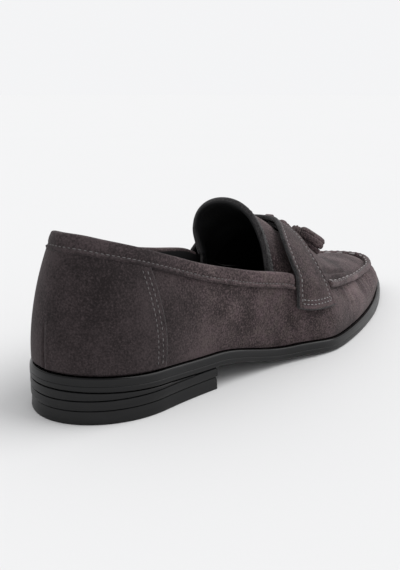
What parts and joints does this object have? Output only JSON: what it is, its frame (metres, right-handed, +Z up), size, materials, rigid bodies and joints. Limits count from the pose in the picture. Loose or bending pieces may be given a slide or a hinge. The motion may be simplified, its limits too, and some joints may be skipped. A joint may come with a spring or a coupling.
{
  "type": "tassel loafer",
  "caption": "Low suede slip-on shoe with a raised moccasin seam, a saddle strap, tassels on a short lace and a stacked low heel.",
  "frame": {"origin": "bottom centre of the bounding box, on the floor", "axes": "+Y towards the heel, toe at -Y; +Z up; outer side of this right shoe at -X"},
  "size_m": [0.0984, 0.298, 0.0817],
  "materials": {
    "sole": "satin charcoal black with a glossy lip",
    "suede": "matt dark grey-brown nap",
    "suede_edge": "matt dark grey nap and cut edges",
    "lining": "matt black"
  },
  "bodies": {
    "root": {"outsole": "sole", "heel_wedge": "sole", "heel_lift": "sole", "heel_top_piece": "sole", "insole": "lining", "upper": "suede", "apron": "suede", "moccasin_seam": "suede", "heel_counter": "suede", "collar_cuff": "suede", "tongue": "suede", "tongue_binding": "suede_edge", "strap": "suede", "tassel_lace": "suede_edge", "tassel_outer": "suede_edge", "tassel_inner": "suede_edge"}
  },
  "joints": []
}
